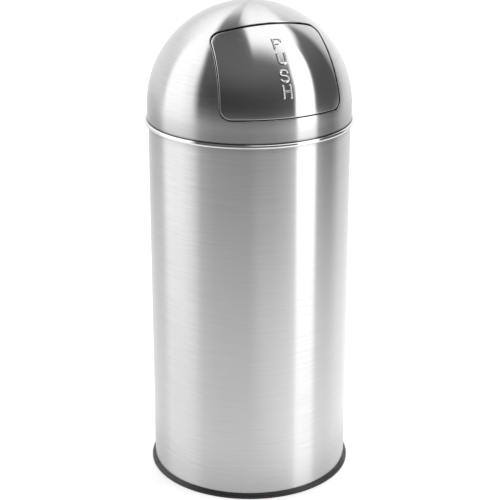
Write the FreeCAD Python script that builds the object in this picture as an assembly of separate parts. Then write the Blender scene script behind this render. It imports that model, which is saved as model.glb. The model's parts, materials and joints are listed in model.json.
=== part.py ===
"""Dome top waste receptacle with a push flap and a lift-out bucket.

Millimetres, +Z up. The origin is on the floor, on the axis of the body, and the flap faces -Y.
Left is -X, as seen by someone who faces the flap. Each sub-part is written to parts/NODE.step.

Big round stretches that show are true arcs. Rolled edges, bends of the sheet and the hidden inner
face of the dome are drawn in flats, because every ring of a full turn costs many facets.
"""
import FreeCAD, Part
import math
import os

Vec = FreeCAD.Vector
ORIGIN = Vec(0, 0, 0)
X_AXIS = Vec(1, 0, 0)
Y_AXIS = Vec(0, 1, 0)
Z_AXIS = Vec(0, 0, 1)
SIDES = {"left": -1, "right": 1}

# ------------------------------------------------------------------ driving dimensions
# body, rolled sheet
body_radius = 150.0            # outside of the wall
body_top = 557.0               # floor to the crown of the bead
body_sheet = 0.8
bead_radius = 3.15             # outside of the bead's round section
bead_quarter_flats = 2         # flats in a quarter turn of a bead's section

# base ring, moulded
ring_overhang = 4.85           # from the wall's outside to the ring's outside
ring_height = 7.5              # crown of the outer lip
ring_lip_foot = 2.6            # upright part of the outer lip, above the floor
ring_lip_flats = 3             # flats round the outer lip's quarter turn
ring_floor = 2.5               # under the wall's edge
ring_foot_width = 9.0          # flat foot inside the bottom plate's skirt

# bottom plate, pressed
plate_level = 12.0             # underside of the disc
plate_sheet = 0.8
plate_corner = 3.0             # bend between disc and skirt

# bucket, galvanised sheet
bucket_clearance = 9.2         # round the bucket's wall, inside the body
bucket_drop = 32.2             # from the crown of the body's bead down to the crown of the bucket's rim
bucket_sheet = 0.7
bucket_rim_radius = 2.5
bucket_bottom_rise = 6.0       # base edge to the underside of the bottom disc
ear_sheet = 1.5
ear_half_width = 13.0
ear_depth = 30.0               # welded part, from the rim's crown down
ear_eye_height = 9.0           # eye above the rim's crown
ear_eye_land = 6.5             # metal round the eye, from its centre

# bail, the bucket's wire handle
bail_wire_radius = 2.0
bail_flats = 8                 # number of flats in a turn round the wire
bail_bend = 3.0                # radius of the bend outside the eye
bail_end = 5.0                 # wire that stands in past the ear

# dome, spun
dome_overhang = 1.6            # dome's outside beyond the body's outside
dome_band = 21.0               # straight wall under the hemisphere
dome_sheet = 0.8
dome_inner_flats = 12          # number of flats in the quarter turn up to the crown
dome_edge_bend = 1.6           # turned-in lower edge
dome_seat_width = 1.0          # flat of the turned-in edge

# locating ring inside the dome's lower edge
spigot_depth = 22.0            # below the dome's lower edge
spigot_sheet = 0.8

# flap mouth, pressed along a line that leans back
mouth_lean = 32.0              # degrees between the pressing direction and the horizontal
mouth_top = 75.0               # from the pressing axis up to the top edge
mouth_bottom = 68.5            # from the pressing axis down to the sill's lowest point
mouth_half_width = 89.4        # at the pressing axis
mouth_taper = 0.088            # half width lost per millimetre upwards
mouth_sill_radius = 290.0
mouth_top_corner = 17.5
mouth_bottom_corner = 20.0
mouth_flange = 4.5             # depth of the turned-in edge

# flap, pressed on a sphere about the same centre
flap_sink = 1.2                # flap's face under the dome's face
flap_flange = 5.5
flap_side_gap = 1.4
flap_sill_gap = 1.5
flap_top_gap = 2.5

# hinge
hinge_behind = 20.0            # axle behind the middle of the mouth's top edge
hinge_below = 21.4             # axle below it
rod_radius = 3.0
rod_end = 2.0                  # rod beyond each clip
ear_spread = 0.33              # share of the dome's radius out to the inner face of each flap ear
ear_web_sheet = 1.5
ear_boss_wall = 2.85           # round the bush
ear_foot_width = 14.0
ear_foot_low = 40.0            # elevation of the foot's lower end, in degrees
ear_foot_high = 54.0
bush_wall = 1.55
bush_lip = 1.8                 # flange beyond the bush's outside
bush_flange = 1.0
bush_tail = 1.0                # bush beyond the inner face of the ear
bracket_sheet = 1.5
bracket_eye_wall = 3.0         # round the rod
bracket_arm_back = 11.0        # arm behind the axle before it turns up to the dome
bracket_foot_width = 14.0
bracket_foot_front = 14.0      # foot's front edge, behind the axle
bracket_foot_back = 40.0       # foot's rear edge, behind the axle
clip_width = 3.0               # round the rod
clip_thickness = 1.0

# closing springs, square wire
spring_wire = 1.2
spring_room = 9.5              # along the rod, from the bush's flange to the bracket
spring_play = 1.4              # between the rod and the inside of the coil
spring_turns = 3               # whole turns, before the part turn between the legs
spring_end_gap = 0.8           # from the coil to the bush and to the bracket
spring_flap_foot = 50.0        # elevation at which a leg meets the flap, in degrees

# stops behind the flap's lower edge
stop_x = 45.0
stop_width = 12.0
stop_sheet = 1.2
stop_start = 2.5               # depth in the flap's flange at which the tab starts
stop_depth = 9.0               # dome's outside to the tab's outer face
stop_drop = 17.0               # from the sill down to the tab's lower end
bumper_radius = 4.0
bumper_drop = 10.5             # from the sill down to the bumper's centre
bumper_neck_radius = 1.8
bumper_cap_radius = 3.0
bumper_cap_height = 1.2

# clearances
fit = 0.3                      # between pieces that move apart
close_fit = 0.15               # between curved faces joined in one body
pin_fit = 0.05                 # radial, round a pin

# ------------------------------------------------------------------ derived places
body_inner = body_radius - body_sheet
bead_centre = (body_inner + bead_radius, body_top - bead_radius)
skirt_radius = body_inner - close_fit

bucket_base = plate_level + plate_sheet
bucket_top = body_top - bucket_drop
bucket_radius = body_inner - bucket_clearance
bucket_inner = bucket_radius - bucket_sheet
rim_centre = (bucket_inner + bucket_rim_radius, bucket_top - bucket_rim_radius)
ear_outer = math.sqrt(bucket_inner**2 - ear_half_width**2) - close_fit
ear_inner = ear_outer - ear_sheet
eye_height = bucket_top + ear_eye_height

dome_radius = body_radius + dome_overhang
edge_centre_radius = dome_radius - dome_edge_bend
edge_reach = bead_radius + dome_edge_bend + fit
edge_rise = math.sqrt(edge_reach**2 - (bead_centre[0] - edge_centre_radius) ** 2)
dome_base = bead_centre[1] + edge_rise - dome_edge_bend
dome_centre = dome_base + dome_band
dome_inner = dome_radius - dome_sheet
dome_seat_radius = edge_centre_radius - dome_seat_width
spigot_radius = min(body_inner - fit, dome_seat_radius - pin_fit)
flap_radius = dome_radius - flap_sink
flap_inner = flap_radius - dome_sheet

lean = math.radians(mouth_lean)
sill_height = dome_centre + dome_radius * math.sin(lean - math.asin(mouth_bottom / dome_radius))
top_elevation = lean + math.asin(mouth_top / dome_radius)
hinge_point = Vec(
    0,
    hinge_behind - dome_radius * math.cos(top_elevation),
    dome_centre + dome_radius * math.sin(top_elevation) - hinge_below,
)
ear_web_x = ear_spread * dome_radius
bush_radius = rod_radius + pin_fit + bush_wall
ear_boss_radius = bush_radius + pin_fit + ear_boss_wall
bush_outer_face = ear_web_x + ear_web_sheet + bush_flange
bracket_x = bush_outer_face + spring_room
bracket_eye_radius = rod_radius + bracket_eye_wall
rod_half_length = bracket_x + bracket_sheet + clip_thickness + rod_end
spring_coil_radius = rod_radius + spring_play + spring_wire / 2


# ------------------------------------------------------------------ shape helpers
def on_circle(centre, radius, degrees):
    turn = math.radians(degrees)
    return (centre[0] + radius * math.cos(turn), centre[1] + radius * math.sin(turn))


def flats(centre, radius, start, end, count):
    """Corners of a round stretch that is drawn in flats."""
    return [on_circle(centre, radius, start + (end - start) * k / count) for k in range(count + 1)]


def at(point):
    return Vec(point[0], 0, point[1])


def chain(points):
    return [Part.makeLine(at(a), at(b)) for a, b in zip(points, points[1:])]


def arc(centre, radius, start, end):
    ends = [at(on_circle(centre, radius, angle)) for angle in (start, (start + end) / 2, end)]
    return Part.Arc(*ends).toShape()


def turned(edges):
    """Solid of revolution about the body's axis, from a closed profile of radius and height."""
    face = Part.Face(Part.Wire(edges))
    return face.revolve(ORIGIN, Z_AXIS, 360)


def turned_outline(points):
    return turned(chain(points + points[:1]))


def ball(radius):
    return Part.makeSphere(radius, Vec(0, 0, dome_centre))


def slab(low, high):
    size = [b - a for a, b in zip(low, high)]
    return Part.makeBox(*size, Vec(*low))


def round_bar(radius, start, end, centre):
    """Cylinder along X."""
    return Part.makeCylinder(radius, end - start, Vec(start, centre.y, centre.z), X_AXIS)


def plate(points, start, end):
    """Flat plate from one x to another, with its outline given as (y, z)."""
    outline = [Vec(start, y, z) for y, z in points]
    face = Part.Face(Part.makePolygon(outline + outline[:1]))
    return face.extrude(Vec(end - start, 0, 0))


def on_side(shape, side):
    """A right-hand piece as it is, or its mirror image on the left."""
    return shape if side > 0 else shape.mirror(ORIGIN, X_AXIS)


def merged(shape):
    """A boolean's result without the seams left inside its faces."""
    return shape.removeSplitter()


# ------------------------------------------------------------------ body
def rolled_vessel(inner, sheet, base, radius, centre):
    """Sheet wall of a round vessel with its mouth rolled outwards into a closed bead."""
    meet = math.degrees(math.acos((inner + sheet - centre[0]) / radius))
    bead = flats(centre, radius, 180, -90, 3 * bead_quarter_flats)
    bead.append(on_circle(centre, radius, -meet))
    return turned_outline([(inner, base)] + bead + [(inner + sheet, base)])


def pressed_disc(radius, sheet, level, edge, corner):
    """Round disc with a skirt turned down at its rim."""
    top = level + sheet
    inner_corner = corner - sheet
    inner = radius - sheet
    return turned_outline([
        (0, top),
        (radius - corner, top),
        (radius, top - corner),
        (radius, edge),
        (inner, edge),
        (inner, level - inner_corner),
        (inner - inner_corner, level),
        (0, level),
    ])


def make_body_shell():
    return rolled_vessel(body_inner, body_sheet, ring_floor, bead_radius, bead_centre)


def make_bottom_plate():
    return pressed_disc(skirt_radius, plate_sheet, plate_level, ring_floor, plate_corner)


def make_base_ring():
    """Moulded ring that the wall and the skirt stand in, with a rounded lip outside the wall."""
    lip = body_radius + close_fit
    outer = body_radius + ring_overhang
    foot = skirt_radius - plate_sheet - ring_foot_width
    run = outer - lip
    rise = ring_height - ring_lip_foot
    crown = [(lip + run * x, ring_lip_foot + rise * z) for x, z in flats((0, 0), 1, 0, 90, ring_lip_flats)]
    return turned_outline([(foot, 0), (outer, 0)] + crown + [(lip, ring_floor), (foot, ring_floor)])


# ------------------------------------------------------------------ bucket
def make_bucket_wall():
    return rolled_vessel(bucket_inner, bucket_sheet, bucket_base, bucket_rim_radius, rim_centre)


def make_bucket_bottom():
    level = bucket_base + bucket_bottom_rise
    return pressed_disc(bucket_inner - close_fit, bucket_sheet, level, bucket_base, plate_corner)


def make_bucket_ear(side):
    """Plate welded inside the wall, rising to an eye above the rim."""
    eye = Vec(0, 0, eye_height)
    ear = slab((ear_inner, -ear_half_width, bucket_top - ear_depth), (ear_outer, ear_half_width, bucket_top))
    ear = ear.fuse(slab((ear_inner, -ear_eye_land, bucket_top - 1), (ear_outer, ear_eye_land, eye_height)))
    ear = ear.fuse(round_bar(ear_eye_land, ear_inner, ear_outer, eye))
    ear = ear.cut(round_bar(bail_wire_radius + fit, 0, bucket_radius, eye))
    return on_side(merged(ear), side)


def make_bail():
    """Half hoop of wire, hooked through both eyes, lying back on the rim."""
    loop = ear_outer + fit + bail_bend
    start = ear_inner - bail_end
    bend = bail_bend * (1 - math.sqrt(0.5))
    tip, turn, mid, top = [
        Vec(start, 0, 0), Vec(loop - bail_bend, 0, 0), Vec(loop - bend, bend, 0), Vec(loop, bail_bend, 0)
    ]
    near, near_turn, near_mid, near_top = [Vec(-p.x, p.y, p.z) for p in (tip, turn, mid, top)]
    path = Part.Wire([
        Part.makeLine(near, near_turn),
        Part.Arc(near_turn, near_mid, near_top).toShape(),
        Part.Arc(near_top, Vec(0, bail_bend + loop, 0), top).toShape(),
        Part.Arc(top, mid, turn).toShape(),
        Part.makeLine(turn, tip),
    ])
    corners = flats((0, 0), bail_wire_radius, 0, 360, bail_flats)
    section = Part.makePolygon([Vec(-start, y, z) for y, z in corners])
    wire = path.makePipeShell([section], True, False)
    across = bail_bend + loop - rim_centre[0]
    reach = bucket_rim_radius + bail_wire_radius + fit
    rest_height = rim_centre[1] + math.sqrt(reach**2 - across**2)
    droop = math.degrees(math.asin((rest_height - eye_height) / (bail_bend + loop)))
    wire.rotate(ORIGIN, X_AXIS, droop)
    wire.translate(Vec(0, 0, eye_height))
    return wire


# ------------------------------------------------------------------ flap mouth
def sill_corner(half_width, centre, radius):
    """Where a leaning side meets the arc of the sill, in the plane of the pressing."""
    a = 1 + mouth_taper**2
    b = half_width * mouth_taper + centre
    c = half_width**2 + centre**2 - radius**2
    v = (b - math.sqrt(b**2 - a * c)) / a
    return Vec(half_width - mouth_taper * v, v, 0)


def upright_edges(prism, points):
    """The prism's long edges that stand on the given corners of its outline."""
    found = []
    for edge in prism.Edges:
        ends = [vertex.Point for vertex in edge.Vertexes]
        for point in points:
            over = [math.hypot(end.x - point.x, end.y - point.y) < close_fit for end in ends]
            if len(ends) == 2 and all(over):
                found.append(edge)
    return found


def mouth_prism(side_inset, top_inset, sill_inset):
    """Prism of the mouth's outline along the pressing direction, drawn in by the given amounts."""
    top = mouth_top - top_inset
    half_width = mouth_half_width - side_inset * math.sqrt(1 + mouth_taper**2)
    centre = mouth_sill_radius - mouth_bottom
    radius = mouth_sill_radius - sill_inset
    low = sill_corner(half_width, centre, radius)
    high = Vec(half_width - mouth_taper * top, top, 0)
    low_left = Vec(-low.x, low.y, 0)
    high_left = Vec(-high.x, high.y, 0)
    outline = Part.Wire([
        Part.makeLine(high_left, high),
        Part.makeLine(high, low),
        Part.Arc(low, Vec(0, centre - radius, 0), low_left).toShape(),
        Part.makeLine(low_left, high_left),
    ])
    prism = Part.Face(outline).extrude(Vec(0, 0, 2 * dome_radius))
    prism = prism.makeFillet(mouth_top_corner - top_inset, upright_edges(prism, (high, high_left)))
    prism = prism.makeFillet(mouth_bottom_corner - sill_inset, upright_edges(prism, (low, low_left)))
    prism.rotate(ORIGIN, X_AXIS, 90 - mouth_lean)
    prism.translate(Vec(0, 0, dome_centre))
    return prism


def flap_prism(inset):
    return mouth_prism(flap_side_gap + inset, flap_top_gap + inset, flap_sill_gap + inset)


# ------------------------------------------------------------------ dome
def dome_skin():
    """Spun shell with a turned-in lower edge, before the mouth is pressed."""
    centre = (0, dome_centre)
    bend_top = dome_base + dome_edge_bend
    inner = flats(centre, dome_inner, 90, 0, dome_inner_flats)
    points = inner + [
        (dome_inner, bend_top),
        (edge_centre_radius, dome_base + dome_sheet),
        (dome_seat_radius, dome_base + dome_sheet),
        (dome_seat_radius, dome_base),
        (edge_centre_radius, dome_base),
        (dome_radius, bend_top),
        (dome_radius, dome_centre),
    ]
    edges = chain(points)
    edges.append(arc(centre, dome_radius, 0, 90))
    edges += chain([(0, dome_centre + dome_radius), inner[0]])
    return turned(edges)


def rim_of(radius, outer_prism, inner_prism, depth):
    """Turned-in edge between two prisms, from a sphere down to a depth."""
    band = ball(radius).cut(ball(radius - depth))
    return band.common(outer_prism.cut(inner_prism))


def make_dome_shell():
    mouth = mouth_prism(0, 0, 0)
    around = mouth_prism(-dome_sheet, -dome_sheet, -dome_sheet)
    shell = dome_skin().cut(mouth).fuse(rim_of(dome_radius, around, mouth, mouth_flange))
    return merged(shell)


def make_locating_ring():
    """Ring that lies on the dome's turned-in edge and reaches down into the body's mouth."""
    inner = spigot_radius - spigot_sheet
    shelf = dome_base + dome_sheet
    outer = edge_centre_radius - pin_fit
    return turned_outline([
        (inner, dome_base - spigot_depth),
        (spigot_radius, dome_base - spigot_depth),
        (spigot_radius, shelf),
        (outer, shelf),
        (outer, shelf + spigot_sheet),
        (inner, shelf + spigot_sheet),
    ])


def make_hinge_bracket(side):
    """Web with an eye for the rod, behind the mouth's top edge, on a foot that follows the dome."""
    y, z = hinge_point.y, hinge_point.z
    land = bracket_eye_radius
    front = y + bracket_foot_front
    back = y + bracket_foot_back
    crown = dome_centre + dome_radius
    arm = [
        (y, z + land),
        (y + bracket_arm_back, z + land),
        (front, z + land + bracket_arm_back),
        (front, crown),
        (back, crown),
        (back, z + land + bracket_arm_back),
        (front + land, z - land),
        (y, z - land),
    ]
    end = bracket_x + bracket_sheet
    web = plate(arm, bracket_x, end).common(ball(chord_radius(dome_inner) - close_fit))
    web = web.fuse(round_bar(land, bracket_x, end, hinge_point))
    foot = foot_patch(end - bracket_foot_width, end, front, back, bracket_sheet)
    bracket = web.fuse(foot).cut(round_bar(rod_radius + pin_fit, 0, dome_radius, hinge_point))
    return on_side(merged(bracket), side)


def chord_radius(radius):
    """Radius that stays inside the flats of the dome's inner face."""
    return radius * math.cos(math.radians(45 / dome_inner_flats))


def foot_patch(x_low, x_high, y_low, y_high, sheet):
    """Plate that follows the inside of the sphere over a patch above the centre."""
    outer = chord_radius(dome_inner) - close_fit
    shell = ball(outer).cut(ball(outer - sheet))
    return shell.common(slab((x_low, y_low, dome_centre), (x_high, y_high, dome_centre + dome_radius)))


def make_hinge_rod():
    return round_bar(rod_radius, -rod_half_length, rod_half_length, hinge_point)


def make_rod_clip(side):
    """Push-on clip outside the bracket."""
    start = bracket_x + bracket_sheet
    clip = round_bar(rod_radius + clip_width, start, start + clip_thickness, hinge_point)
    hole = round_bar(rod_radius + pin_fit, start, start + clip_thickness, hinge_point)
    return on_side(merged(clip.cut(hole)), side)


# ------------------------------------------------------------------ flap
def make_flap_panel():
    outline = flap_prism(0)
    skin = ball(flap_radius).cut(ball(flap_inner)).common(outline)
    rim = rim_of(flap_radius, outline, flap_prism(dome_sheet), flap_flange)
    return merged(skin.fuse(rim))


def make_flap_ear(side):
    """Web with a bushed eye on the rod, on a foot behind the flap."""
    inside = flap_inner - close_fit
    centre = (0, dome_centre)
    low = on_circle(centre, dome_radius, 180 - ear_foot_low)
    high = on_circle(centre, dome_radius, 180 - ear_foot_high)
    y, z = hinge_point.y, hinge_point.z
    end = ear_web_x + ear_web_sheet
    web = plate([(y, z + ear_boss_radius), high, low, (y, z - ear_boss_radius)], ear_web_x, end)
    web = web.common(ball(inside))
    web = web.fuse(round_bar(ear_boss_radius, ear_web_x, end, hinge_point))
    wedge = plate([(0, dome_centre), high, low], end - ear_foot_width, end)
    foot = ball(inside).cut(ball(inside - ear_web_sheet)).common(wedge)
    ear = web.fuse(foot).cut(round_bar(bush_radius + pin_fit, 0, dome_radius, hinge_point))
    return on_side(merged(ear), side)


def make_flap_bush(side):
    """Flanged nylon bush in the ear's eye, turning on the rod."""
    shoulder = ear_web_x + ear_web_sheet
    bush = round_bar(bush_radius, ear_web_x - bush_tail, shoulder, hinge_point)
    bush = bush.fuse(round_bar(bush_radius + bush_lip, shoulder, bush_outer_face, hinge_point))
    bore = round_bar(rod_radius + pin_fit, 0, dome_radius, hinge_point)
    return on_side(merged(bush.cut(bore)), side)


def make_stop_tab(side):
    """Strip from the flap's lower flange, turned down behind the dome below the sill."""
    slot = slab((stop_x - stop_width / 2, -dome_radius, dome_base),
                (stop_x + stop_width / 2, 0, hinge_point.z))
    lining = flap_prism(dome_sheet + pin_fit).cut(flap_prism(dome_sheet + pin_fit + stop_sheet))
    outer = dome_radius - stop_depth
    step = ball(flap_radius - stop_start).cut(ball(outer - stop_sheet)).common(lining)
    low = slab((0, -dome_radius, sill_height - stop_drop), (dome_radius, 0, sill_height))
    blade = ball(outer).cut(ball(outer - stop_sheet)).common(low)
    hole = Part.makeCylinder(bumper_neck_radius + pin_fit, dome_radius, *bumper_line())
    tab = step.fuse(blade).common(slot).cut(hole)
    return on_side(merged(tab), side)


def bumper_line():
    """Start and direction of the bumper's axis, square to the sphere."""
    centre = Vec(0, 0, dome_centre)
    rise = sill_height - bumper_drop - dome_centre
    out = Vec(stop_x, -math.sqrt(dome_radius**2 - stop_x**2 - rise**2), rise)
    return centre, out.normalize()


def make_stop_bumper(side):
    """Rubber button on the tab, with a neck through its hole and a cap behind."""
    centre, out = bumper_line()
    face = dome_radius - stop_depth
    back = face - stop_sheet

    def button(radius, start, end):
        return Part.makeCylinder(radius, end - start, centre + out * start, out)

    pad = button(bumper_radius, face + close_fit, dome_radius - dome_sheet)
    pad = pad.common(ball(chord_radius(dome_inner) - fit))
    neck = button(bumper_neck_radius, back - close_fit, face + close_fit)
    cap = button(bumper_cap_radius, back - close_fit - bumper_cap_height, back - close_fit)
    return on_side(merged(pad.fuse([neck, cap])), side)


# ------------------------------------------------------------------ closing springs
def leg_from_coil(target, sense):
    """Angle on the coil and point where a straight leg leaves for a target (y, z), and its length."""
    y, z = target[0] - hinge_point.y, target[1] - hinge_point.z
    reach = math.hypot(y, z)
    length = math.sqrt(reach**2 - spring_coil_radius**2)
    angle = math.atan2(z, y) - sense * math.atan2(length, spring_coil_radius)
    return angle, length


def spring_leg(angle, length, sense, x):
    """Straight square bar that leaves the coil along its tangent."""
    half = spring_wire / 2
    out = (math.cos(angle), math.sin(angle))
    along = (-sense * out[1], sense * out[0])
    corners = []
    for run, side in ((-half, -half), (length, -half), (length, half), (-half, half)):
        corners.append((
            hinge_point.y + out[0] * (spring_coil_radius + side) + along[0] * run,
            hinge_point.z + out[1] * (spring_coil_radius + side) + along[1] * run,
        ))
    return plate(corners, x - half, x + half)


def section_radius(radius, x):
    """Radius of a sphere's section at x."""
    return math.sqrt(radius**2 - x**2)


def make_closing_spring(side):
    """Torsion coil round the rod between ear and bracket, with a leg on the flap and one on the bracket."""
    half = spring_wire / 2
    x_flap = bush_outer_face + half + spring_end_gap
    flap_section = section_radius(flap_inner - fit - half, x_flap)
    flap_target = on_circle((0, dome_centre), flap_section, 180 - spring_flap_foot)
    foot_face = chord_radius(dome_inner) - close_fit - bracket_sheet
    dome_section = section_radius(foot_face - fit - half, bracket_x)
    dome_y = hinge_point.y + (bracket_foot_front + bracket_foot_back) / 2
    dome_target = (dome_y, dome_centre + math.sqrt(dome_section**2 - dome_y**2))
    start, flap_leg = leg_from_coil(flap_target, -1)
    stop, dome_leg = leg_from_coil(dome_target, 1)
    turns = spring_turns + ((stop - start) / (2 * math.pi)) % 1
    pitch = (bracket_x - spring_end_gap - half - x_flap) / turns
    helix = Part.makeHelix(pitch, pitch * turns, spring_coil_radius)
    corners = [(-half, -half), (half, -half), (half, half), (-half, half), (-half, -half)]
    section = Part.makePolygon([Vec(spring_coil_radius + x, 0, z) for x, z in corners])
    coil = Part.Wire(helix.Edges).makePipeShell([section], True, True)
    coil.rotate(ORIGIN, Y_AXIS, 90)
    coil.rotate(ORIGIN, X_AXIS, 90 + math.degrees(start))
    coil.translate(Vec(x_flap, hinge_point.y, hinge_point.z))
    legs = [
        spring_leg(start, flap_leg, -1, x_flap),
        spring_leg(stop, dome_leg, 1, x_flap + pitch * turns),
    ]
    return on_side(merged(coil.fuse(legs)), side)


# ------------------------------------------------------------------ files
PIECES = {
    "body_shell": make_body_shell,
    "bottom_plate": make_bottom_plate,
    "base_ring": make_base_ring,
    "bucket_wall": make_bucket_wall,
    "bucket_bottom": make_bucket_bottom,
    "bail": make_bail,
    "dome_shell": make_dome_shell,
    "locating_ring": make_locating_ring,
    "hinge_rod": make_hinge_rod,
    "flap_panel": make_flap_panel,
}
PAIRS = {
    "bucket_ear": make_bucket_ear,
    "hinge_bracket": make_hinge_bracket,
    "rod_clip": make_rod_clip,
    "closing_spring": make_closing_spring,
    "flap_ear": make_flap_ear,
    "flap_bush": make_flap_bush,
    "stop_tab": make_stop_tab,
    "stop_bumper": make_stop_bumper,
}


def main():
    os.makedirs("parts", exist_ok=True)
    for name, make in PIECES.items():
        make().exportStep("parts/%s.step" % name)
    for name, make in PAIRS.items():
        for word, side in SIDES.items():
            make(side).exportStep("parts/%s_%s.step" % (name, word))


if __name__ == "__main__":
    main()
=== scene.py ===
"""Looks of the dome top waste receptacle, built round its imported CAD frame. Metres, +Z up, flap to -Y."""

import json
import math

import bpy
from mathutils import Matrix, Vector


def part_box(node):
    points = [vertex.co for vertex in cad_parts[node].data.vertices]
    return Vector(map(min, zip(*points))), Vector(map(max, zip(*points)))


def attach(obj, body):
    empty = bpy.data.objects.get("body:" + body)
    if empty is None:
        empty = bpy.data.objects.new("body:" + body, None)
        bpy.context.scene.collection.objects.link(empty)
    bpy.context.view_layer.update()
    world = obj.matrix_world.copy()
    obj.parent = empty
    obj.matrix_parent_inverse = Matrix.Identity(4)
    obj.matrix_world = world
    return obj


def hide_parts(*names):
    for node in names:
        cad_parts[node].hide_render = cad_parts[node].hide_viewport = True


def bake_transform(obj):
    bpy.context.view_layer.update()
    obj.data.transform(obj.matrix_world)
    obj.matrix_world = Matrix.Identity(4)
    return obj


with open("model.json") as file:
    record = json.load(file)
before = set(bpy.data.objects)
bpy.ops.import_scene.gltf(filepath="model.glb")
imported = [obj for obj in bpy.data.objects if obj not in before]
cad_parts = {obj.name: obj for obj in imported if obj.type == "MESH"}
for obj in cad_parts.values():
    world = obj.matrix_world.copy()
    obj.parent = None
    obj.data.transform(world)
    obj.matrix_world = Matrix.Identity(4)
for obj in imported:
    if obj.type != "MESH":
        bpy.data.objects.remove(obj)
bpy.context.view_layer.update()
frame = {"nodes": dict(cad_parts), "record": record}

# ------------------------------------------------------------------ sizes and places
turn_steps = 240                 # corners round a full turn

curl_root = 132                  # a rolled rim's inside meets its wall here, in degrees round its middle
curl_end = -132                  # the rolled edge ends here, under the rim
curl_steps = 24
curl_inner_steps = 20

sheet = 0.0008
body_radius = 0.150
bead_radius = 0.00315
body_foot, body_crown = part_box("body_shell")
bead_centre = (body_crown.x - bead_radius, body_crown.z - bead_radius)

ring_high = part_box("base_ring")[1]
ring_floor = 0.0025
ring_foot_inner = 0.1393
ring_lip_foot = 0.0026
ring_lip = 0.15015
ring_edge_round = 0.0008
ring_lip_steps = 10

bucket_low, bucket_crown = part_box("bucket_wall")
bucket_sheet = 0.0007
bucket_radius = 0.140
bucket_rim_radius = 0.0025
rim_centre = (bucket_crown.x - bucket_rim_radius, bucket_crown.z - bucket_rim_radius)

dome_low, dome_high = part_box("dome_shell")
dome_radius = dome_high.x
dome_centre = Vector((0, 0, dome_high.z - dome_radius))
dome_edge_bend = 0.0016
dome_seat_width = 0.0010
dome_steps = 44                  # from the mouth's edge to the foot of the hemisphere
band_steps = 4                   # down the straight band under the hemisphere
edge_steps = 6                   # round the outside of the turned-in lower edge
edge_inner_steps = 5

mouth_lean = math.radians(32)
mouth_top = 0.0750
mouth_bottom = 0.0685
mouth_half_width = 0.0894
mouth_taper = 0.088
mouth_sill_radius = 0.290
mouth_top_corner = 0.0175
mouth_bottom_corner = 0.0200
mouth_flange = 0.0045
mouth_bend = 0.0012              # reach of the bend between the dome's face and its turned-in edge

flap_radius = dome_radius - 0.0012      # its face lies a little under the dome's
flap_side_gap = 0.0014
flap_sill_gap = 0.0015
flap_top_gap = 0.0025
flap_flange = 0.0055
flap_bend = 0.0010
flap_steps = 26
bend_steps = 5
bend_guard = 0.0006              # narrow ring beside a bend, which keeps a large face's shading clean

corner_steps = 16
side_steps = 34
half_sill_steps = 22

bail_wire_radius = 0.0020
bail_bend = 0.0030
bail_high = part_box("bail")[1]
eye_height = 0.5338
bail_end_x = 0.1322
bail_loop = bail_high.x - bail_wire_radius
bail_bend_steps = 8
half_bail_steps = 60
bail_corners = 14

letter_width = 0.0108
letter_height = 0.0160
letter_radius = 0.0046           # round corners of the U
letter_end = 20                  # where the S ends, in degrees round the middle of its bow
letter_steps = 6                 # steps in about a quarter turn
letter_rise = 0.00060
letter_stroke = 0.0021           # from a stroke's middle line to where it meets the flap
letter_cell = 0.00028            # mesh cell
letter_lift = 0.00003            # the foot of a letter's mesh over the flap's face
# Each letter, and its middle across and up from the middle of the mouth.
letters = (("P", 0, 0.0388), ("U", 0.0003, 0.0153), ("S", -0.0020, -0.0108), ("H", -0.0010, -0.0325))

axle = Vector((0, -0.051985, 0.689739))
rod_radius = 0.0030
ear_spread = 0.33                # share of the dome's radius out to the inner face of each flap ear
ear_and_flange = 0.0025          # ear sheet and bush flange together
spring_room = 0.0095             # along the rod, from the bush's flange to the bracket
spring_play = 0.0014             # between the rod and the inside of the coil
spring_wire_radius = 0.0006
spring_turns = 3                 # whole turns, before the part turn between the legs
spring_turn_steps = 24
spring_corners = 10
spring_end_gap = 0.0008          # from the coil to the bush and to the bracket
spring_tip_gap = 0.0003          # from a leg's tip to the sheet it leans on
spring_flap_foot = 130           # where a leg meets the flap, in degrees round the dome's centre
bracket_foot_inside = 0.148827   # inner face of the bracket's foot, from the dome's centre
bracket_foot_middle = 0.0270     # behind the axle
bush_face = ear_spread * dome_radius + ear_and_flange
bracket_face = bush_face + spring_room
spring_coil_radius = rod_radius + spring_play + spring_wire_radius

# ------------------------------------------------------------------ camera
camera_azimuth = math.radians(-22)      # the flap faces right of the camera
camera_distance = 2.2185
camera_height = 1.1652
camera_pitch = math.radians(20.283)
camera_lens = 111.27
camera_sensor = 36.0
camera_shift = 0.00116                  # the axis lies 0.58 of 500 pixels left of the middle


# ------------------------------------------------------------------ mesh helpers
def new_piece(name, shape, body, slot, smooth_angle=40):
    """Mesh object of a shape's points and faces that rides on a body, if one is given."""
    points, faces = shape
    mesh = bpy.data.meshes.new(name)
    mesh.from_pydata(points, [], faces)
    mesh.validate()
    mesh.shade_smooth()
    mesh.set_sharp_from_angle(angle=math.radians(smooth_angle))
    # The brushing's direction is worked out in the mesh's texture space, so that lies about the Z axis.
    mesh.use_auto_texspace = False
    mesh.texspace_location = (0, 0, 0.5)
    mesh.texspace_size = (0.5, 0.5, 0.5)
    mesh.materials.append(MATERIALS[slot])
    piece = bpy.data.objects.new(name, mesh)
    bpy.context.scene.collection.objects.link(piece)
    if body:
        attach(piece, body)
    return piece


def on_circle(centre, radius, degrees):
    """Point of a plane on a circle, such as a corner (radius, height) of a profile."""
    turn = math.radians(degrees)
    return (centre[0] + radius * math.cos(turn), centre[1] + radius * math.sin(turn))


def arc(centre, radius, start, end, steps):
    """Corners (radius, height) of a round stretch of a profile."""
    return [on_circle(centre, radius, start + (end - start) * k / steps) for k in range(steps + 1)]


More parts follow.
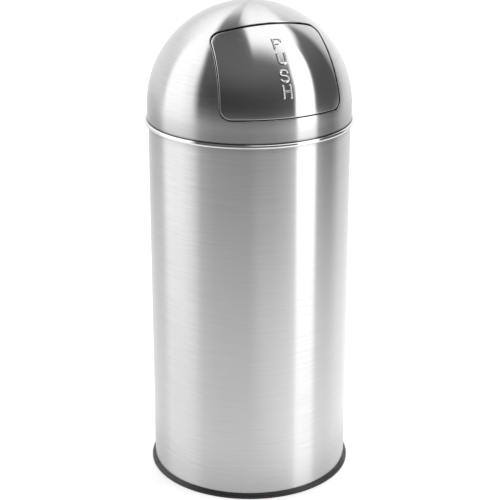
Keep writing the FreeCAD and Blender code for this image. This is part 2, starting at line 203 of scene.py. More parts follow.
def strips(rings, closed_across):
    """Quads between rings of equal length. Each ring is closed; the set of rings may be too."""
    count = len(rings[0])
    points = [point for ring in rings for point in ring]
    faces = []
    pairs = len(rings) if closed_across else len(rings) - 1
    for i in range(pairs):
        this_ring, next_ring = i * count, (i + 1) % len(rings) * count
        for k in range(count):
            after = (k + 1) % count
            faces.append((this_ring + k, this_ring + after, next_ring + after, next_ring + k))
    return points, faces


def lathe(profile, corners=turn_steps):
    """Points and faces of a closed (radius, height) profile turned about the Z axis."""
    rings = []
    for radius, height in profile:
        ring = []
        for k in range(corners):
            turn = 2 * math.pi * k / corners
            ring.append((radius * math.cos(turn), radius * math.sin(turn), height))
        rings.append(ring)
    return strips(rings, True)


def tube(path, radius, corners):
    """Points and faces of a round wire with closed ends along a path of points."""
    points = [Vector(p) for p in path]
    rings = []
    side = None
    for i, point in enumerate(points):
        ahead = points[min(i + 1, len(points) - 1)] - points[max(i - 1, 0)]
        ahead.normalize()
        if side is None:
            side = ahead.orthogonal().normalized()
        side = (side - ahead * side.dot(ahead)).normalized()
        up = ahead.cross(side)
        ring = []
        for k in range(corners):
            turn = 2 * math.pi * k / corners
            ring.append(point + side * (radius * math.cos(turn)) + up * (radius * math.sin(turn)))
        rings.append(ring)
    vertices, faces = strips(rings, False)
    last = len(vertices) - corners
    faces.append(tuple(reversed(range(corners))))
    faces.append(tuple(range(last, last + corners)))
    return vertices, faces


# ------------------------------------------------------------------ node helpers
def node_tree(name):
    """New material, its node tree and its main shader."""
    material = bpy.data.materials.new(name)
    material.use_nodes = True
    return material, material.node_tree, material.node_tree.nodes["Principled BSDF"]


def wire(tree, node, inputs):
    """Sets each input of a node, or links it where the value is another node's output."""
    for key, value in dict(inputs).items():
        if isinstance(value, bpy.types.NodeSocket):
            tree.links.new(value, node.inputs[key])
        else:
            node.inputs[key].default_value = value


def put(tree, kind, inputs=(), **settings):
    """Adds a node, sets its properties, and then sets or links its inputs."""
    node = tree.nodes.new(kind)
    for key, value in settings.items():
        setattr(node, key, value)
    wire(tree, node, inputs)
    return node


def math_node(tree, operation, *values):
    return put(tree, "ShaderNodeMath", enumerate(values), operation=operation).outputs[0]


def vector_node(tree, operation, *values, result="Vector"):
    """The result is "Value" where the operation gives a number, such as a length."""
    return put(tree, "ShaderNodeVectorMath", enumerate(values), operation=operation).outputs[result]


def blend(tree, share, first, second):
    """Colour between two colours."""
    return put(tree, "ShaderNodeMix", {0: share, 6: first, 7: second}, data_type="RGBA").outputs[2]


def grey(value):
    return (value, value, value, 1)


def spread(tree, value, start, end, at_start=0.0, at_end=1.0):
    """Turns smoothly from one result to another while the value runs from start to end."""
    inputs = {0: value, 1: start, 2: end, 3: at_start, 4: at_end}
    return put(tree, "ShaderNodeMapRange", inputs, interpolation_type="SMOOTHSTEP").outputs[0]


def noise(tree, vector, scale, detail, roughness):
    inputs = {"Vector": vector, "Scale": scale, "Detail": detail, "Roughness": roughness}
    return put(tree, "ShaderNodeTexNoise", inputs).outputs[0]


def object_place(tree):
    return put(tree, "ShaderNodeTexCoord").outputs["Object"]


def axis_coordinates(tree):
    """Height of a point, its distance from the Z axis, and its direction from that axis."""
    place = object_place(tree)
    height = put(tree, "ShaderNodeSeparateXYZ", {0: place}).outputs["Z"]
    flat = vector_node(tree, "MULTIPLY", place, (1, 1, 0))
    return height, vector_node(tree, "LENGTH", flat, result="Value"), vector_node(tree, "NORMALIZE", flat)


# ------------------------------------------------------------------ materials
noise_core = (0.3, 0.7)                  # most of a noise lies between these

# Brush marks: how fast the noise runs round the axis and up the wall, and its detail and roughness.
scratches = (9.0, 2600.0, 4.0, 0.65)
long_streaks = (2.2, 330.0, 3.0, 0.6)
clouds = (3.0, 14.0, 3.0, 0.5)
long_share = 0.55                        # share of the long streaks beside the scratches
cloud_share = 0.25
brush_roughness = 0.02                   # how far the marks change the roughness
brush_depth = 0.00005
brush_turn = 0.25                        # lays the gloss across the brushing, as part of a full turn

bead_edge = 0.0004                       # half the height in which the wall's finish and painted light become the bead's
bead_painted_highlight = 0.28                         # painted highlight: this much is added to the bead's tone over the wall's
bead_smoothness = 0.09                   # how much less rough it is
groove_start, groove_end = 0.0006, 0.0020        # painted shade in the groove beside the dome, between these distances outside the dome's face
groove_painted_shade = 0.66
bead_foot = 0.0012                       # painted shade in a strip along the bead's underside
bead_underside_painted_shade = 0.60
below_bead = 0.012                       # stretch of wall darkened with painted shade towards the bead
below_bead_painted_shade = 0.84

foot_shade_strip = (-0.004, 0.036)             # broad strip of painted shade over the dome's lower edge
foot_strip_painted_shade = 0.73
foot_line = 0.0045                       # narrow one inside it
foot_line_painted_shade = 0.50

mottle_roughness = 0.06
mottle_strength, mottle_depth = 0.05, 0.0002

spangle_scale = 90.0
spangle_tone = (0.44, 0.60)
spangle_roughness = (0.36, 0.50)
zinc_blue = 1.03

scuff_scale = 35.0
scuff_tone = (0.85, 1.2)                 # darkest and lightest, as multiples of the plastic's tone
scuff_roughness = (-0.05, 0.08)
mould_grain_scale = 900.0
mould_grain_strength, mould_grain_depth = 0.25, 0.0001


def brush_marks(tree, axes, crown, around, across, detail, roughness):
    """Noise that runs slowly round the Z axis and fast up the wall, or over a crown if one is given."""
    height, reach, way = axes
    if crown:
        rise = math_node(tree, "SUBTRACT", height, crown)
        height = math_node(tree, "MULTIPLY", math_node(tree, "ARCTAN2", rise, reach), dome_radius)
    slow = put(tree, "ShaderNodeVectorMath", {0: way, "Scale": around}, operation="SCALE").outputs[0]
    fast = put(tree, "ShaderNodeCombineXYZ", {"Z": math_node(tree, "MULTIPLY", height, across)}).outputs[0]
    return noise(tree, vector_node(tree, "ADD", slow, fast), 1.0, detail, roughness)


def paint_bead_light_and_shade(tree, bead, height, reach, shade, rough):
    """Smoother steel above the height bead, with a painted highlight, and painted shade in the groove
    beside the dome, under the bead and on the wall below it.
    """
    on_bead = spread(tree, height, bead - bead_edge, bead + bead_edge)
    # painted shade in the groove beside the dome
    groove = spread(tree, reach, dome_radius + groove_start, dome_radius + groove_end, groove_painted_shade, 1.0)
    # painted shade along the bead's underside
    under = spread(tree, height, bead, bead + bead_foot, bead_underside_painted_shade, 1.0)
    # painted shade on the wall just below the bead
    wall_painted_shade = spread(tree, height, bead - below_bead, bead, 1.0, below_bead_painted_shade)
    shade = math_node(tree, "MULTIPLY", shade, wall_painted_shade)
    # painted highlight on the bead
    highlighted = math_node(tree, "ADD", shade, bead_painted_highlight)
    bead_painted_light = math_node(tree, "MULTIPLY", highlighted, math_node(tree, "MULTIPLY", groove, under))
    shade = put(tree, "ShaderNodeMix", {0: on_bead, 2: shade, 3: bead_painted_light}).outputs[0]
    rough = math_node(tree, "SUBTRACT", rough, math_node(tree, "MULTIPLY", on_bead, bead_smoothness))
    return shade, rough


def paint_foot_shade(tree, foot, height, shade):
    """Painted shade that darkens the steel softly down to the height foot."""
    start, end = foot_shade_strip
    # painted shade over the dome's lower edge
    broad = spread(tree, height, foot + start, foot + end, foot_strip_painted_shade, 1.0)
    narrow = spread(tree, height, foot, foot + foot_line, foot_line_painted_shade, 1.0)
    return math_node(tree, "MULTIPLY", shade, math_node(tree, "MULTIPLY", broad, narrow))


def weigh(tree, first, second, share):
    """Sum of two values, of which the second has the given share."""
    first = math_node(tree, "MULTIPLY", first, 1 - share)
    return math_node(tree, "ADD", first, math_node(tree, "MULTIPLY", second, share))


def raise_grain(tree, shader, height, strength, depth):
    bump = put(tree, "ShaderNodeBump", {"Strength": strength, "Distance": depth, "Height": height})
    wire(tree, shader, {"Normal": bump.outputs[0]})


def brushed_steel(name, tone, roughness, streaks, relief=0.05, anisotropy=1.0,
                  crown=None, bead=None, foot=None):
    """Stainless steel brushed round the Z axis, with fine scratches, longer streaks and faint clouds.

    The brushing runs over a crown whose middle lies at the height crown. Above the height bead the steel is
    smoother, with a painted highlight and painted shade beside and under the bead; painted shade darkens
    the steel softly down to the height foot.
    """
    material, tree, shader = node_tree(name)
    axes = axis_coordinates(tree)
    height, reach, _ = axes
    fine, long, cloud = [
        brush_marks(tree, axes, crown, *marks) for marks in (scratches, long_streaks, clouds)
    ]
    streak = weigh(tree, fine, long, long_share)
    mixed = weigh(tree, streak, cloud, cloud_share)
    shade = spread(tree, mixed, *noise_core, tone - streaks, tone + streaks)
    rough = spread(tree, mixed, *noise_core, roughness - brush_roughness, roughness + brush_roughness)
    # painted highlight and painted shade at the bead
    if bead:
        shade, rough = paint_bead_light_and_shade(tree, bead, height, reach, shade, rough)
    # painted shade towards the dome's foot
    if foot:
        shade = paint_foot_shade(tree, foot, height, shade)
    wire(tree, shader, {
        "Base Color": put(tree, "ShaderNodeCombineColor", {0: shade, 1: shade, 2: shade}).outputs[0],
        "Roughness": rough,
        "Metallic": 1.0,
        "Anisotropic": anisotropy,
        "Anisotropic Rotation": brush_turn,
        "Tangent": put(tree, "ShaderNodeTangent", direction_type="RADIAL", axis="Z").outputs[0],
    })
    raise_grain(tree, shader, streak, relief, brush_depth)
    return material


def tone_between(tree, share, tone, darkest, lightest):
    """Colour between two multiples of a tone."""
    return blend(tree, share, (*(c * darkest for c in tone), 1), (*(c * lightest for c in tone), 1))


def plain_metal(name, tone, roughness, spots, spot_scale):
    """Plated or drawn metal with soft spots of tone."""
    material, tree, shader = node_tree(name)
    mottle = noise(tree, object_place(tree), spot_scale, 4.0, 0.6)
    wire(tree, shader, {
        "Base Color": tone_between(tree, mottle, tone, 1 - spots, 1 + spots),
        "Roughness": spread(
            tree, mottle, *noise_core, roughness - mottle_roughness, roughness + mottle_roughness),
        "Metallic": 1.0,
    })
    raise_grain(tree, shader, mottle, mottle_strength, mottle_depth)
    return material


def galvanised(name):
    """Hot-dipped zinc: angular spangles of slightly different tone."""
    material, tree, shader = node_tree(name)
    cell_inputs = {"Vector": object_place(tree), "Scale": spangle_scale, "Randomness": 1.0}
    cell = put(tree, "ShaderNodeTexVoronoi", cell_inputs).outputs["Color"]
    shade = put(tree, "ShaderNodeSeparateColor", {0: cell}).outputs[0]
    tone = spread(tree, shade, 0.0, 1.0, *spangle_tone)
    blue = math_node(tree, "MULTIPLY", tone, zinc_blue)
    wire(tree, shader, {
        "Base Color": put(tree, "ShaderNodeCombineColor", {0: tone, 1: tone, 2: blue}).outputs[0],
        "Roughness": spread(tree, shade, 0.0, 1.0, *spangle_roughness),
        "Metallic": 1.0,
    })
    return material


def moulded(name, tone, roughness):
    """Moulded plastic or rubber with a fine grain and faint scuffs."""
    material, tree, shader = node_tree(name)
    place = object_place(tree)
    grain = noise(tree, place, mould_grain_scale, 2.0, 0.5)
    scuff = noise(tree, place, scuff_scale, 4.0, 0.6)
    least, most = (roughness + change for change in scuff_roughness)
    wire(tree, shader, {
        "Base Color": tone_between(tree, scuff, tone, *scuff_tone),
        "Roughness": spread(tree, scuff, *noise_core, least, most),
    })
    raise_grain(tree, shader, grain, mould_grain_strength, mould_grain_depth)
    return material


crown_height = dome_centre.z
bead_height = bead_centre[1] - bead_radius

MATERIALS = {
    # The body's bead carries a painted highlight and painted shade, and the dome's foot painted shade.
    "brushed_steel_body": brushed_steel("brushed_body", 0.62, 0.17, 0.033, bead=bead_height),
    "brushed_steel_dome": brushed_steel(
        "brushed_dome", 0.60, 0.20, 0.035, crown=crown_height, foot=dome_low.z),
    "polished_steel": brushed_steel("fine_brushed_flap", 0.60, 0.15, 0.015, 0.03, 0.9, crown=crown_height),
    "black_plastic": moulded("black_plastic", (0.035, 0.035, 0.036), 0.42),
    "galvanised": galvanised("galvanised"),
    "zinc_plate": plain_metal("zinc_plate", (0.58, 0.58, 0.57), 0.38, 0.08, 60.0),
    "steel_wire": plain_metal("steel_wire", (0.60, 0.60, 0.60), 0.24, 0.05, 160.0),
    "spring_steel": plain_metal("spring_steel", (0.36, 0.36, 0.37), 0.30, 0.10, 220.0),
    "white_nylon": moulded("white_nylon", (0.78, 0.77, 0.72), 0.45),
    "black_rubber": moulded("black_rubber", (0.022, 0.022, 0.022), 0.75),
}


def dress_nodes():
    """Gives every CAD node the material of its slot in the record."""
    for part in frame["record"]["subparts"]:
        node = frame["nodes"][part["node"]]
        node.data.materials.clear()
        node.data.materials.append(MATERIALS[part["material_slot"]])


# ------------------------------------------------------------------ body
def rolled_vessel(inner, wall, base, radius, centre):
    """Turned sheet wall whose mouth is rolled outwards into a curl, with a groove under the curl."""
    outer = inner + wall
    curl = arc(centre, radius, 180, curl_end, curl_steps)
    curl += arc(centre, radius - wall, curl_end, curl_root, curl_inner_steps)
    return lathe([(inner, base)] + curl + [(outer, centre[1]), (outer, base)])


def make_body():
    shape = rolled_vessel(body_radius - sheet, sheet, body_foot.z, bead_radius, bead_centre)
    piece = new_piece("body_wall", shape, "body", "brushed_steel_body", smooth_angle=20)
    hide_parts("body_shell")


def make_base_ring():
    outer = ring_high.x
    run = outer - ring_lip
    rise = ring_high.z - ring_lip_foot
    profile = [(ring_foot_inner, 0), (outer - ring_edge_round, 0), (outer, ring_edge_round)]
    for radius, height in arc((0, 0), 1, 0, 90, ring_lip_steps):
        profile.append((ring_lip + run * radius, ring_lip_foot + rise * height))
    profile += [(ring_lip, ring_floor), (ring_foot_inner, ring_floor)]
    piece = new_piece("ring_moulding", lathe(profile), "body", "black_plastic")
    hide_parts("base_ring")


def make_bucket():
    inner = bucket_radius - bucket_sheet
    shape = rolled_vessel(inner, bucket_sheet, bucket_low.z, bucket_rim_radius, rim_centre)
    piece = new_piece("bucket_sheet", shape, "bucket", "galvanised", smooth_angle=20)
    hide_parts("bucket_wall")


# ------------------------------------------------------------------ flap mouth
def on_sphere(u, v, radius):
    """Point over (u, v) of the pressing plane on a sphere about the dome's centre."""
    w = math.sqrt(radius**2 - u**2 - v**2)
    across = Vector((1, 0, 0))
    up = Vector((0, math.sin(mouth_lean), math.cos(mouth_lean)))
    out = Vector((0, -math.cos(mouth_lean), math.sin(mouth_lean)))
    return dome_centre + across * u + up * v + out * w


def below(point, depth):
    """The point carried down along the pressing direction."""
    return point + Vector((0, math.cos(mouth_lean), -math.sin(mouth_lean))) * depth


def mouth_outline(side, top, sill):
    """The mouth's outline in the pressing plane, drawn in by three amounts, from the sill's middle."""
    half = mouth_half_width - side * math.hypot(1, mouth_taper)
    high = mouth_top - top
    arch = mouth_sill_radius - mouth_bottom
    sill_radius = mouth_sill_radius - sill
    low_round = mouth_bottom_corner - sill
    high_round = mouth_top_corner - top
    slope = math.degrees(math.atan(mouth_taper))

    inner = half - low_round * math.hypot(1, mouth_taper)
    reach = sill_radius - low_round
    a = 1 + mouth_taper**2
    b = inner * mouth_taper + arch
    v = (b - math.sqrt(b**2 - a * (inner**2 + arch**2 - reach**2))) / a
    low_centre = (inner - mouth_taper * v, v)
    high_v = high - high_round
    high_centre = (half - high_round * math.hypot(1, mouth_taper) - mouth_taper * high_v, high_v)
    turn = math.degrees(math.atan2(low_centre[1] - arch, low_centre[0]))

    right = arc((0, arch), sill_radius, -90, turn, half_sill_steps)
    right += arc(low_centre, low_round, turn, slope, corner_steps)[1:]
    foot = right[-1]
    shoulder = on_circle(high_centre, high_round, slope)
    for k in range(1, side_steps):
        share = k / side_steps
        right.append((foot[0] + (shoulder[0] - foot[0]) * share, foot[1] + (shoulder[1] - foot[1]) * share))
    right += arc(high_centre, high_round, slope, 90, corner_steps)
    end = right[-1][0]
    right += [(end * (1 - k / half_sill_steps), high) for k in range(1, half_sill_steps + 1)]
    left = [(-u, v) for u, v in reversed(right[1:-1])]
    return right + left


def bend(start, corner, end):
    """Rounded turn from start to end past a corner."""
    steps = []
    for k in range(bend_steps + 1):
        t = k / bend_steps
        steps.append(start * (1 - t) ** 2 + corner * (2 * t * (1 - t)) + end * t**2)
    return steps


def to_equator(point, radius, steps):
    """Points on the great circle from the mouth's middle through a point, to the hemisphere's foot."""
    out = Vector((0, -math.cos(mouth_lean), math.sin(mouth_lean)))
    start = (point - dome_centre).normalized()
    axis = out.cross(start).normalized()
    side = axis.cross(start)
    angle = math.atan2(-start.z, side.z)
    if angle <= 0:
        angle += math.pi
    return [
        dome_centre + (start * math.cos(angle * k / steps) + side * math.sin(angle * k / steps)) * radius
        for k in range(steps + 1)
    ]


def dome_section(outer_guard, outer_edge, hole, hole_back, back_guard):
    """Closed section of the dome, from its turned-in lower edge over the outside to the mouth and back."""
    inner_radius = dome_radius - sheet
    start = on_sphere(*outer_guard, dome_radius)
    outside = to_equator(start, dome_radius, dome_steps)
    inside = to_equator(on_sphere(*back_guard, inner_radius), inner_radius, dome_steps)
    way = Vector((outside[-1].x, outside[-1].y, 0)).normalized()
    edge_centre = (dome_radius - dome_edge_bend, dome_low.z + dome_edge_bend)
    seat = dome_radius - dome_edge_bend - dome_seat_width

    def wall(radius, height):
        return way * radius + Vector((0, 0, height))

    section = [wall(seat, dome_low.z)]
    section += [wall(*c) for c in arc(edge_centre, dome_edge_bend, -90, 0, edge_steps)]
    band = dome_centre.z - edge_centre[1]
    section += [wall(dome_radius, edge_centre[1] + band * k / band_steps) for k in range(1, band_steps)]
    section += reversed(outside)
    edge = on_sphere(*outer_edge, dome_radius)
    corner = on_sphere(*hole, dome_radius)
    section += bend(edge, corner, below(corner, mouth_bend))
    section.append(below(corner, mouth_flange))
    back = on_sphere(*hole_back, dome_radius)
    section.append(below(back, mouth_flange))
    section.append(on_sphere(*hole_back, inner_radius))
    section += inside
    section += [wall(inner_radius, dome_centre.z - band * k / band_steps) for k in range(1, band_steps)]
    section += [wall(*c) for c in arc(edge_centre, dome_edge_bend - sheet, 0, -90, edge_inner_steps)]
    section.append(wall(seat, dome_low.z + sheet))
    return section


def make_dome():
    outlines = [
        mouth_outline(-inset, -inset, -inset)
        for inset in (mouth_bend + bend_guard, mouth_bend, 0, sheet, sheet + bend_guard)
    ]
    sections = [dome_section(*places) for places in zip(*outlines)]
    shape = strips(list(zip(*sections)), True)
    piece = new_piece("dome_skin", shape, "dome", "brushed_steel_dome")
    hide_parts("dome_shell")


def make_flap():
    """Pressed flap with a rounded edge and a turned-in flange, drawn as rings from its middle."""
    inner_radius = flap_radius - sheet

    def outline(inset):
        return mouth_outline(flap_side_gap + inset, flap_top_gap + inset, flap_sill_gap + inset)

    guard = outline(flap_bend + bend_guard)
    rings = []
    for k in range(1, flap_steps + 1):
        share = k / flap_steps
        rings.append([on_sphere(u * share, v * share, flap_radius) for u, v in guard])
    edge = [on_sphere(u, v, flap_radius) for u, v in outline(flap_bend)]
    corner = [on_sphere(u, v, flap_radius) for u, v in outline(0)]
    rings += [list(r) for r in zip(*[bend(a, b, below(b, flap_bend)) for a, b in zip(edge, corner)])]
    rings.append([below(p, flap_flange) for p in corner])
    back = outline(sheet)
    rings.append([below(on_sphere(u, v, flap_radius), flap_flange) for u, v in back])
    rings.append([on_sphere(u, v, inner_radius) for u, v in back])
    for k in range(flap_steps, 0, -1):
        share = k / flap_steps
        rings.append([on_sphere(u * share, v * share, inner_radius) for u, v in guard])
    points, faces = strips(rings, False)
    count = len(guard)
    for radius, first in ((flap_radius, 0), (inner_radius, len(points) - count)):
        middle = len(points)
        points.append(on_sphere(0, 0, radius))
        for k in range(count):
            pair = (first + k, first + (k + 1) % count)
            faces.append((middle, *pair) if first else (middle, *reversed(pair)))
    piece = new_piece("flap_skin", (points, faces), "flap", "polished_steel")
    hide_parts("flap_panel")


# ------------------------------------------------------------------ raised word
def strokes_of(letter):
    """Middle lines of a plain block letter, as points in a box of the letter's width and height."""
    w, h, r = letter_width / 2, letter_height / 2, letter_radius
    bowl = h / 2
    if letter == "P":
        round_part = arc((w - bowl, h - bowl), bowl, 90, -90, 2 * letter_steps)
        return [[(-w, -h), (-w, h)] + round_part + [(-w, h - 2 * bowl)]]
    if letter == "U":
        left = arc((-w + r, -h + r), r, 180, 270, letter_steps)
        right = arc((w - r, -h + r), r, 270, 360, letter_steps)
        return [[(-w, h)] + left + right + [(w, h)]]
    if letter == "S":
        upper = arc((0, h - bowl), bowl, letter_end, 270, 3 * letter_steps)
        lower = arc((0, bowl - h), bowl, 90, letter_end - 180, 3 * letter_steps)
        return [[(u * w / bowl, v) for u, v in upper + lower[1:]]]
    return [[(-w, -h), (-w, h)], [(w, -h), (w, h)], [(-w, 0), (w, 0)]]


def distance_to(strokes, u, v):
    """Distance from a point to the nearest stroke, up to a letter's height."""
    nearest = letter_height
    for line in strokes:
        for (ax, ay), (bx, by) in zip(line, line[1:]):
            dx, dy = bx - ax, by - ay
            share = max(0.0, min(1.0, ((u - ax) * dx + (v - ay) * dy) / (dx * dx + dy * dy)))
            nearest = min(nearest, math.hypot(u - ax - share * dx, v - ay - share * dy))
    return nearest


def make_letter(letter, middle_u, middle_v):
    """Pressed-out letter: a patch of the flap's sphere that rises smoothly over the strokes."""
    strokes = strokes_of(letter)
    half_u = letter_width / 2 + letter_stroke + letter_cell
    half_v = letter_height / 2 + letter_stroke + letter_cell
    columns = int(2 * half_u / letter_cell) + 1
    rows = int(2 * half_v / letter_cell) + 1
    points, faces, index = [], [], {}
    for row in range(rows):
        for column in range(columns):
            u = -half_u + column * letter_cell
            v = -half_v + row * letter_cell
            away = distance_to(strokes, u, v) / letter_stroke
            if away < 1 + letter_cell / letter_stroke:
                rise = letter_rise * (1 + math.cos(math.pi * min(1.0, away))) / 2
                index[row, column] = len(points)
                points.append(on_sphere(u + middle_u, v + middle_v, flap_radius + letter_lift + rise))
    for row, column in index:
        corners = [(row, column), (row, column + 1), (row + 1, column + 1), (row + 1, column)]
        if all(c in index for c in corners):
            faces.append([index[c] for c in corners])
    new_piece("raised_" + letter, (points, faces), "flap", "polished_steel", smooth_angle=180)


# ------------------------------------------------------------------ wire parts
def make_bail():
    """Round wire hooked through both eyes, lying back on the bucket's rim."""
    half = [(bail_end_x, 0)]
    half += arc((bail_loop - bail_bend, bail_bend), bail_bend, -90, 0, bail_bend_steps)
    half += arc((0, bail_bend), bail_loop, 0, 90, half_bail_steps)[1:]
    line = half + [(-x, y) for x, y in reversed(half[:-1])]
    rest = (bail_high.z - bail_wire_radius - eye_height) / (bail_bend + bail_loop)
    droop = Matrix.Rotation(math.asin(rest), 4, "X")
    path = [droop @ Vector((x, y, 0)) + Vector((0, 0, eye_height)) for x, y in line]
    piece = new_piece("bail_wire", tube(path, bail_wire_radius, bail_corners), "bail", "steel_wire")
    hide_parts("bail")


def leg_from_coil(target, sense):
    """Angle on the coil at which a straight leg leaves for a target (y, z) from the axle."""
    reach = math.hypot(*target)
    length = math.sqrt(reach**2 - spring_coil_radius**2)
    return math.atan2(target[1], target[0]) - sense * math.atan2(length, spring_coil_radius)


def spring_tips(first):
    """Tips (y, z), from the axle, of the leg behind the flap and of the leg at the bracket's foot."""
    tip_gap = spring_tip_gap + spring_wire_radius
    flap_section = math.sqrt((flap_radius - sheet - tip_gap) ** 2 - first**2)
    foot_section = math.sqrt((bracket_foot_inside - tip_gap) ** 2 - bracket_face**2)
    flap_y, flap_z = on_circle((0, dome_centre.z), flap_section, spring_flap_foot)
    foot_y = axle.y + bracket_foot_middle
    foot_z = dome_centre.z + math.sqrt(foot_section**2 - foot_y**2)
    return (flap_y - axle.y, flap_z - axle.z), (bracket_foot_middle, foot_z - axle.z)


def make_spring(side):
    """Torsion spring of round wire: a leg behind the flap, a coil on the rod, a leg at a bracket's foot."""
    name = "left" if side < 0 else "right"
    first = bush_face + spring_wire_radius + spring_end_gap
    last = bracket_face - spring_end_gap - spring_wire_radius
    flap_tip, foot_tip = spring_tips(first)
    start = leg_from_coil(flap_tip, -1)
    stop = leg_from_coil(foot_tip, 1)
    sweep = 2 * math.pi * spring_turns + (stop - start) % (2 * math.pi)
    steps = int(spring_turn_steps * sweep / (2 * math.pi))
    path = [(first, *flap_tip)]
    for k in range(steps + 1):
        turn = start + sweep * k / steps
        y, z = spring_coil_radius * math.cos(turn), spring_coil_radius * math.sin(turn)
        path.append((first + (last - first) * k / steps, y, z))
    path.append((last, *foot_tip))
    path = [axle + Vector((side * x, y, z)) for x, y, z in path]
    shape = tube(path, spring_wire_radius, spring_corners)
    piece = new_piece("spring_wire_" + name, shape, None, "spring_steel")
    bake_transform(piece)
    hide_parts("closing_spring_" + name)


# ------------------------------------------------------------------ studio
def make_camera():
    data = bpy.data.cameras.new("camera")
    data.lens = camera_lens
    data.sensor_width = camera_sensor
    data.shift_x = camera_shift
    camera = bpy.data.objects.new("camera", data)
    bpy.context.scene.collection.objects.link(camera)
    camera.location = (
        camera_distance * math.sin(camera_azimuth),
        -camera_distance * math.cos(camera_azimuth),
        camera_height,
    )
    camera.rotation_euler = (math.pi / 2 - camera_pitch, 0, camera_azimuth)
    bpy.context.scene.camera = camera


# Brightness of the walls and the floor by degrees round the object. 0 faces the camera, 90 is the image's
# right hand. The walls change from their foot to their head with the height of the direction.
WALL_FOOT = (
    (-180, 1.02), (-158, 1.02), (-148, 1.05), (-130, 1.05), (-111.5, 1.00), (-104.5, 1.70), (-80, 1.66),
    (-66, 1.36), (-57, 0.10), (-40, 0.055), (-10, 0.065), (24, 0.085), (40, 0.11), (51, 0.11), (54, 2.60),
    (75, 2.60), (79, 0.12), (118, 0.12), (130, 0.80), (145, 1.10), (165, 1.15), (180, 1.02),
)
WALL_HEAD = (
    (-180, 1.45), (-150, 1.60), (-112, 1.55), (-106, 1.75), (-62, 1.70), (-54, 0.16), (47.5, 0.20),
    (51.5, 2.60), (76, 2.60), (80, 0.18), (121, 0.22), (134, 1.20), (150, 1.15), (162, 1.45), (180, 1.45),
)
FLOOR = (
    (-180, 0.85), (-157, 0.78), (-146, 0.66), (-130, 0.61), (-119, 0.72), (-107, 1.42), (-82, 1.36),
    (-70, 1.10), (-62, 0.77), (-56, 0.44), (-40, 0.27), (-20, 0.24), (8, 0.22), (27, 0.28), (44, 0.50),
    (53.5, 0.86), (56, 1.85), (79, 1.85), (82, 0.52), (92, 0.25), (105, 0.15), (114, 0.36), (122, 0.66),
    (142, 0.78), (180, 0.82),
)
# What is added to the floor's brightness just under the horizon.
HAZE = (
    (-180, 0.20), (-115, 0.0), (-68, 0.0), (-57, 0.38), (-30, 0.32), (30, 0.26), (50, 0.08), (84, 0.0),
    (116, 0.0), (130, 0.20), (180, 0.20),
)
# Brightness of the bare ceiling, from -1 at the back to 1 at the camera's side.
GLOOM = ((-1, 0.90), (-0.70, 0.50), (-0.472, 0.30), (-0.222, 0.12), (-0.056, 0.17), (1, 0.20))

# Stretches of a direction's rise, which is -1 straight down, 0 level and 1 straight up.
haze_start = (-0.26, -0.16)
floor_to_wall = (-0.14, -0.07)
foot_to_head = (0.30, 0.75)
wall_to_ceiling = (0.70, 0.78)

wall_lean = 0.16                 # upright edges on the walls bend with the rise, by this and more higher up
wall_lean_growth = 0.30

# The ceiling is laid out by how far a direction points to the side and to the front, from -1 to 1.
box_light = 1.68                 # soft box overhead
box_edges = ((0.207, -0.011), (-0.20, -0.194))   # its left edge: the right one of two (slope, place) lines
box_edge_blur = (-0.03, 0.01)
box_front_blur = (0.02, 0.47)
left_light = 1.68                # wide light on the left
left_light_slope = 0.61
left_light_blur = (-0.67, -0.57)


def ramp(tree, share, stops):
    """Brightness from (place, brightness) stops, where share runs from 0 at the first to 1 at the last."""
    node = put(tree, "ShaderNodeValToRGB", {0: share})
    elements = node.color_ramp.elements
    first, last = stops[0][0], stops[-1][0]
    while len(elements) < len(stops):
        elements.new(0.5)
    for element, (place, value) in zip(elements, stops):
        element.position = (place - first) / (last - first)
        element.color = grey(value)
    return node.outputs[0]


def ceiling_light(tree, side, front):
    """Dark ceiling with a soft box overhead and a wide light on the left."""
    edges = [math_node(tree, "MULTIPLY_ADD", front, slope, place) for slope, place in box_edges]
    from_edge = math_node(tree, "SUBTRACT", side, math_node(tree, "MAXIMUM", *edges))
    box_side = spread(tree, from_edge, *box_edge_blur)
    box_front = spread(tree, front, *box_front_blur, 1.0, 0.0)
    box = math_node(tree, "MULTIPLY", box_side, box_front)
    from_middle = math_node(tree, "MULTIPLY_ADD", front, left_light_slope, side)
    left = spread(tree, from_middle, *left_light_blur, 1.0, 0.0)
    gloom = ramp(tree, math_node(tree, "MULTIPLY_ADD", front, 0.5, 0.5), GLOOM)
    return blend(tree, left, blend(tree, box, gloom, grey(box_light)), grey(left_light))


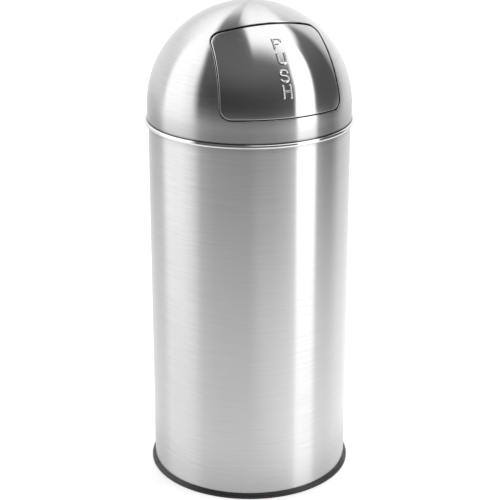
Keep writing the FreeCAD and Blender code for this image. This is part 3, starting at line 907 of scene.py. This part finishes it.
def make_world():
    """Studio of soft boxes and dark walls round the object; the camera itself sees plain white."""
    world = bpy.data.worlds.new("studio")
    bpy.context.scene.world = world
    world.use_nodes = True
    tree = world.node_tree
    way = put(tree, "ShaderNodeTexCoord").outputs["Generated"]
    to_camera = {"Vector": way, "Angle": -camera_azimuth}
    turned = put(tree, "ShaderNodeVectorRotate", to_camera, rotation_type="Z_AXIS").outputs[0]
    side, depth, rise = put(tree, "ShaderNodeSeparateXYZ", {0: turned}).outputs
    front = math_node(tree, "MULTIPLY", depth, -1.0)
    above = math_node(tree, "MAXIMUM", rise, 0.0)
    lean = math_node(tree, "MULTIPLY_ADD", above, wall_lean_growth, wall_lean)
    leaning = math_node(tree, "MULTIPLY_ADD", above, lean, front)
    turn = math_node(tree, "ARCTAN2", side, leaning)
    share = math_node(tree, "MULTIPLY_ADD", turn, 1 / (2 * math.pi), 0.5)

    foot_share = spread(tree, rise, *foot_to_head)
    wall = blend(tree, foot_share, ramp(tree, share, WALL_FOOT), ramp(tree, share, WALL_HEAD))
    upper = blend(tree, spread(tree, rise, *wall_to_ceiling), wall, ceiling_light(tree, side, front))
    haze = blend(tree, spread(tree, rise, *haze_start), grey(0.0), ramp(tree, share, HAZE))
    hazy = {0: 1.0, 6: ramp(tree, share, FLOOR), 7: haze}
    lower = put(tree, "ShaderNodeMix", hazy, data_type="RGBA", blend_type="ADD").outputs[2]
    studio = blend(tree, spread(tree, rise, *floor_to_wall), lower, upper)
    seen = put(tree, "ShaderNodeLightPath").outputs["Is Camera Ray"]
    wire(tree, tree.nodes["Background"], {"Color": blend(tree, seen, studio, grey(1.0))})


floor_reach = 6.0
floor_tone = 0.86
floor_roughness = 0.9
floor_glow = 0.55                # light of its own that only the camera sees
pool_reach = 2.6                 # shiny pieces see a lit floor out to here, more of it nearer the object
pool_share = 0.80                # what they see of it under the object
pool_light = (1.08, 1.40)        # brightness left and right of the object
pool_turn = (-0.05, 0.25)        # where left gives way to right, towards the camera's right hand
pool_shadow_reach = (0.14, 0.30)         # painted shadow: the lit floor fades towards the object's foot between these distances
pool_painted_shadow = 0.70


def make_floor():
    """White floor. Shiny pieces see it near the object only, and the studio's floor further out."""
    mesh = bpy.data.meshes.new("floor")
    corners = [(x * floor_reach, y * floor_reach, 0) for x, y in ((-1, -1), (1, -1), (1, 1), (-1, 1))]
    mesh.from_pydata(corners, [], [(0, 1, 2, 3)])
    floor = bpy.data.objects.new("floor", mesh)
    bpy.context.scene.collection.objects.link(floor)
    material, tree, shader = node_tree("floor")
    path = put(tree, "ShaderNodeLightPath").outputs
    wire(tree, shader, {
        "Base Color": grey(floor_tone),
        "Roughness": floor_roughness,
        "Specular IOR Level": 0.0,
        "Emission Color": grey(1.0),
        "Emission Strength": math_node(tree, "MULTIPLY", path["Is Camera Ray"], floor_glow),
    })
    place = put(tree, "ShaderNodeNewGeometry").outputs["Position"]
    away = vector_node(tree, "LENGTH", place, result="Value")
    near = spread(tree, away, 0.0, pool_reach, pool_share, 0.0)
    camera_right = (math.cos(camera_azimuth), math.sin(camera_azimuth), 0)
    right = vector_node(tree, "DOT_PRODUCT", place, camera_right, result="Value")
    light = spread(tree, right, *pool_turn, *pool_light)
    # painted shadow of the object in the floor light that shiny pieces see
    light = math_node(tree, "MULTIPLY", light, spread(tree, away, *pool_shadow_reach, pool_painted_shadow, 1.0))
    pool = put(tree, "ShaderNodeEmission", {"Color": grey(1.0), "Strength": light}).outputs[0]
    clear = put(tree, "ShaderNodeBsdfTransparent").outputs[0]
    glossy = put(tree, "ShaderNodeMixShader", {0: near, 1: clear, 2: pool}).outputs[0]
    final = put(tree, "ShaderNodeMixShader", {0: path["Is Glossy Ray"], 1: shader.outputs[0], 2: glossy})
    wire(tree, tree.nodes["Material Output"], {"Surface": final.outputs[0]})
    mesh.materials.append(material)


make_camera()
bpy.context.scene.view_settings.view_transform = "Standard"
dress_nodes()
make_body()
make_base_ring()
make_bucket()
make_dome()
make_flap()
for letter, across, up in letters:
    make_letter(letter, across, up)
make_bail()
make_spring(-1)
make_spring(1)
make_world()
make_floor()
